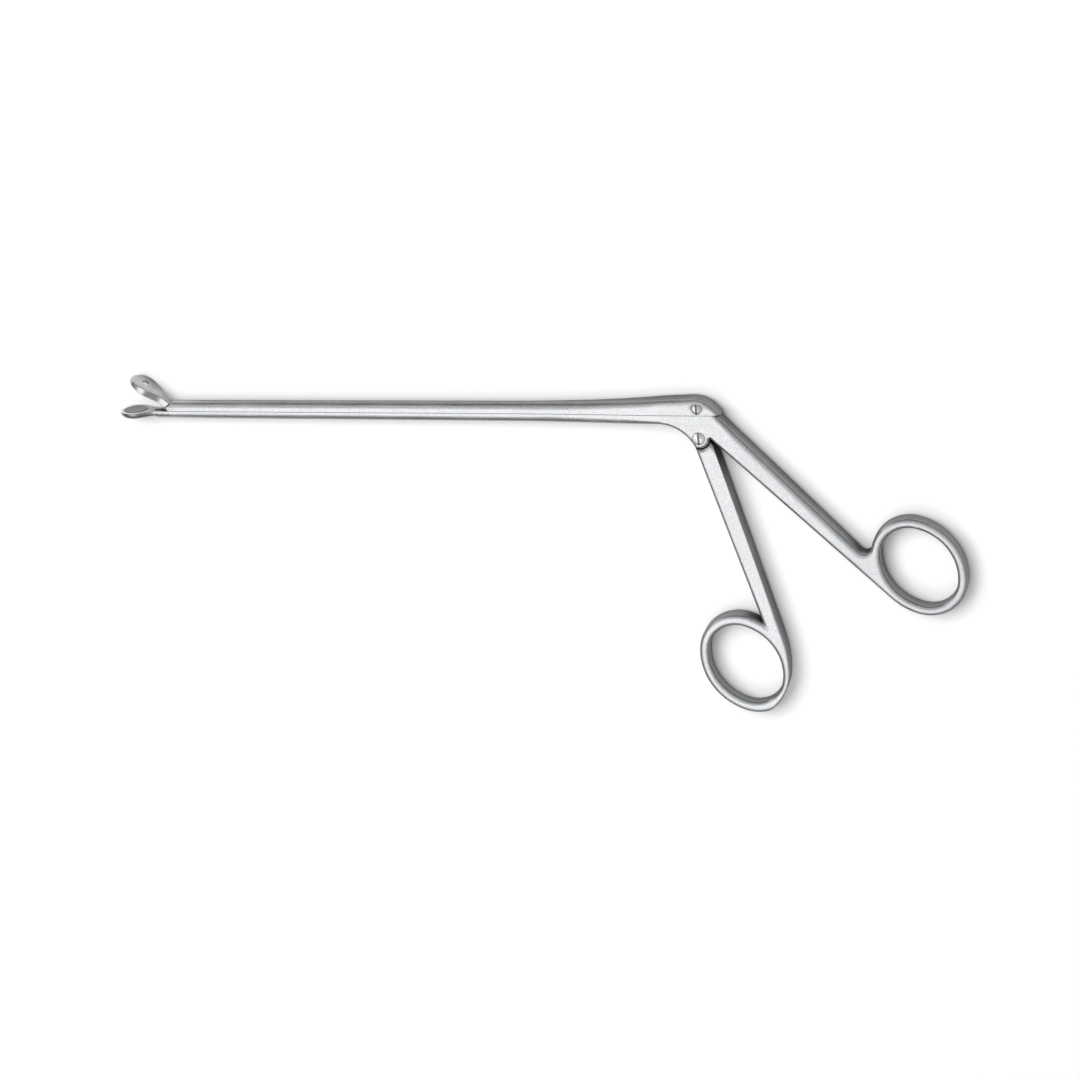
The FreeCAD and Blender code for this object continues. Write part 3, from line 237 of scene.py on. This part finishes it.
    # Painted light: each tint lays a painted highlight or painted shade over the colour past its
    # limits.
    for tint, strength, tint_limits in painted_light_tints:
        tinted = add("ShaderNodeMix", data_type="RGBA")
        tinted.inputs["B"].default_value = tint
        tree.links.new(colour, tinted.inputs["A"])
        tree.links.new(past(tint_limits, strength), tinted.inputs["Factor"])
        colour = tinted.outputs["Result"]
    tree.links.new(colour, shader.inputs["Base Color"])

    rough = combine(
        "ADD",
        remap(cloud, NOISE_SPAN, satin - 0.04, satin + 0.04),
        remap(brushing, NOISE_SPAN, -0.07, 0.07),
    )
    rough = combine("SUBTRACT", rough, combine("MULTIPLY", wear, satin - POLISHED_ROUGH))
    tree.links.new(rough, shader.inputs["Roughness"])

    relief = combine("ADD", combine("MULTIPLY", grain, 0.6), combine("MULTIPLY", brushing, 0.4))
    bump = add("ShaderNodeBump")
    bump.inputs["Strength"].default_value = RELIEF_SHARE
    bump.inputs["Distance"].default_value = RELIEF_DEPTH
    tree.links.new(relief, bump.inputs["Height"])
    tree.links.new(rounded.outputs["Normal"], bump.inputs["Normal"])
    tree.links.new(bump.outputs["Normal"], shader.inputs["Normal"])
    return material


def finish_with(node, material):
    """Give a carried-over solid its finish: every slot of it takes the one material."""
    slots = nodes[node].data.materials
    for place in range(len(slots)):
        slots[place] = material


HANDLE_SLOPE = math.radians(46.1)
# Painted highlight on the lower cup's rim, and painted shade on the lower jaw below the rim, inside
# and outside the cup.
RIM_PAINTED_HIGHLIGHT = (0.95, 0.95, 0.95, 1.0)
BOWL_PAINTED_SHADE = (0.22, 0.22, 0.225, 1.0)
behind_pivot = (1.0, 0.0, 0.005, 0.012)
handle_back = (math.sin(HANDLE_SLOPE), math.cos(HANDLE_SLOPE), 0.0045, 0.0065)
before_ring = (-1.0, 0.0, -0.064, -0.048)
jaw_end = (-1.0, 0.0, 0.1780, 0.1782)
at_rim = (0.0, 1.0, 0.00745, 0.00749)
cup_end = (-1.0, 0.0, 0.1795, 0.1830)
below_rim = (0.0, -1.0, -0.00747, -0.00740)
finish_with(
    "fixed_half",
    steel(
        "fixed_half_satin",
        0.0,
        rounding=0.0020,
        limits=[behind_pivot, handle_back, before_ring],
        painted_light_tints=[(RIM_PAINTED_HIGHLIGHT, 0.9, [jaw_end, at_rim]), (BOWL_PAINTED_SHADE, 0.7, [cup_end, below_rim])],
    ),
)

# The slide
# A second forging, brushed along the shaft. It runs on the lower bar on two hidden guides, and its
# domed tail covers the top of the front handle.

towards_tail = (1.0, 0.0, -0.060, -0.020)
slide_top = (0.0, 1.0, 0.0088, 0.0102)
finish_with(
    "slide_bar", steel("slide_satin", 0.0, rounding=0.0020, limits=[towards_tail, slide_top])
)

# The upper jaw
# A small forged cup with a drain hole, turned by the slide. Its sharp rim is ground last.

JAW_SLOPE = math.radians(-40.0)
finish_with("upper_jaw", steel("jaw_satin", JAW_SLOPE))

# The front handle
# The moving handle, forged in one with its ring and tang and brushed along its shank. Its edges
# get rounder towards the ring.

FRONT_SLOPE = math.radians(-73.0)
towards_ring = (0.0, -1.0, 0.045, 0.065)
finish_with(
    "front_handle",
    steel("front_handle_satin", FRONT_SLOPE, rounding=0.0008, limits=[towards_ring]),
)

# Screws and pins
# Turned from harder stainless steel and left a little brighter than the forgings.

TURNED_SATIN = 0.26
TURNED_MARKS = math.radians(90.0)
for fastener in ("pivot_screw", "link_screw", "jaw_pivot_pin", "jaw_drive_pin"):
    finish_with(fastener, steel(f"{fastener}_steel", TURNED_MARKS, TURNED_SATIN))

# Soft studio light
# A large soft panel lights the table and stays out of the steel's mirror. A weak card lies in the
# mirror of the flat faces, and a narrow panel stands at the jaws' side. The room is pale overhead
# and dark towards the walls, so that turning edges of the steel go dark.


def soft_panel(name, place, aim, width, height, power):
    light = bpy.data.lights.new(name, "AREA")
    light.shape = "RECTANGLE"
    light.size = width
    light.size_y = height
    light.energy = power
    lamp = bpy.data.objects.new(name, light)
    lamp.location = place
    lamp.rotation_euler = (Vector(aim) - Vector(place)).to_track_quat("-Z", "Y").to_euler()
    bpy.context.scene.collection.objects.link(lamp)
    return lamp


middle = (-0.055, -0.03, 0.0)
table_lamp = soft_panel(
    "table_panel", place=(-0.5, 0.7, 1.6), aim=middle, width=1.6, height=1.2, power=27.0
)
table_lamp.visible_glossy = False
soft_panel(
    "card_panel", place=(-0.40, -0.40, 1.10), aim=middle, width=1.0, height=0.55, power=2.0
)
soft_panel("rim_panel", place=(-1.2, 0.75, 0.75), aim=middle, width=0.35, height=0.9, power=1.6)

ROOM_OVERHEAD = (0.62, 0.63, 0.64, 1.0)
ROOM_WALLS = (0.045, 0.045, 0.047, 1.0)
ROOM_STRENGTH = 1.0
WALLS_END = 0.18
OVERHEAD_START = 0.85

room = bpy.data.worlds.new("studio")
bpy.context.scene.world = room
room.use_nodes = True
room_nodes = room.node_tree.nodes
room_links = room.node_tree.links
direction = room_nodes.new("ShaderNodeTexCoord")
split = room_nodes.new("ShaderNodeSeparateXYZ")
ramp = room_nodes.new("ShaderNodeValToRGB")
ramp.color_ramp.elements[0].position = WALLS_END
ramp.color_ramp.elements[0].color = ROOM_WALLS
ramp.color_ramp.elements[1].position = OVERHEAD_START
ramp.color_ramp.elements[1].color = ROOM_OVERHEAD
room_links.new(direction.outputs["Generated"], split.inputs["Vector"])
room_links.new(split.outputs["Z"], ramp.inputs["Fac"])
room_links.new(ramp.outputs["Color"], room_nodes["Background"].inputs["Color"])
room_nodes["Background"].inputs["Strength"].default_value = ROOM_STRENGTH

# The camera
# It looks down on the instrument from the photograph's direction: turned to the handles' side,
# raised towards the slide's side, and rolled so that the shaft runs level in the picture.

CAMERA_TURN = math.radians(15.0)
CAMERA_RISE = math.radians(20.0)
CAMERA_ROLL = math.radians(-4.4573)
CAMERA_AWAY = 1.2965
CAMERA_AIM = Vector((-0.054694, -0.035888, 0.0035))
LENS_LENGTH = 135.0
SENSOR_WIDTH = 36.0
NEAR_LIMIT = 0.01

away = Vector(
    (
        math.sin(CAMERA_TURN) * math.cos(CAMERA_RISE),
        math.sin(CAMERA_RISE),
        math.cos(CAMERA_TURN) * math.cos(CAMERA_RISE),
    )
)
level = Vector((0.0, 1.0, 0.0)).cross(away).normalized()
raised = away.cross(level)
right = level * math.cos(CAMERA_ROLL) + raised * math.sin(CAMERA_ROLL)
up = raised * math.cos(CAMERA_ROLL) - level * math.sin(CAMERA_ROLL)
view = Matrix((right, up, away)).transposed().to_4x4()
view.translation = CAMERA_AIM + away * CAMERA_AWAY
lens = bpy.data.cameras.new("camera")
lens.lens = LENS_LENGTH
lens.sensor_width = SENSOR_WIDTH
lens.clip_start = NEAR_LIMIT
camera = bpy.data.objects.new("camera", lens)
camera.matrix_world = view
bpy.context.scene.collection.objects.link(camera)
bpy.context.scene.camera = camera
bpy.context.scene.view_settings.view_transform = "Standard"
